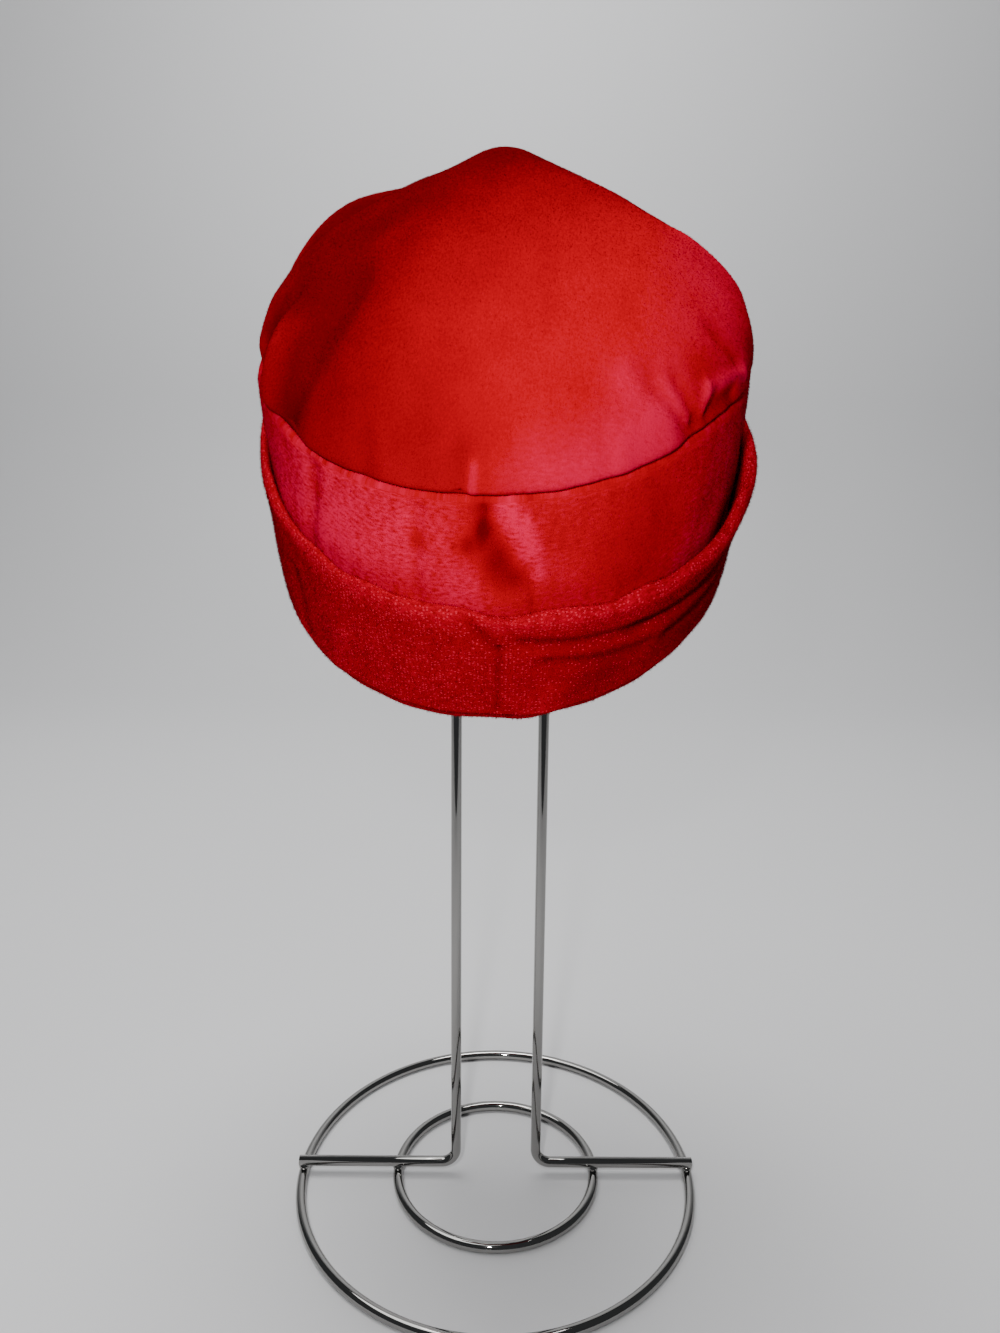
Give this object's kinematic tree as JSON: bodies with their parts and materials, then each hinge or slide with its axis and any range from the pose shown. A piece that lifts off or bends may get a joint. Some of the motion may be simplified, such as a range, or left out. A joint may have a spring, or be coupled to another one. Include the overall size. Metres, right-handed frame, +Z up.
{
  "type": "pillbox hat on a wire hat stand",
  "caption": "Soft velvet pillbox hat with a full draped crown and a turned-up cuff, hanging by its crown on the arch of a plain chrome wire stand with a round base.",
  "frame": {"origin": "middle of the outline's footprint, on the surface that the stand's base rings rest on", "axes": "+Z up; the hat tips down towards -Y, which is its front in the picture; +X to the right seen from the front; the wire stand bends in a plane square to Y"},
  "size_m": [0.194, 0.198, 0.4591],
  "materials": {
    "velvet": "short-pile stretch velvet, pile brushed to a soft sheen",
    "cuff_velvet": "the same velvet turned up with its pile rows showing",
    "chrome": "polished chrome plate on steel wire"
  },
  "bodies": {
    "root": {"crown_tip": "velvet", "side_band": "velvet", "cuff": "cuff_velvet", "wire_stand": "chrome"}
  },
  "joints": []
}
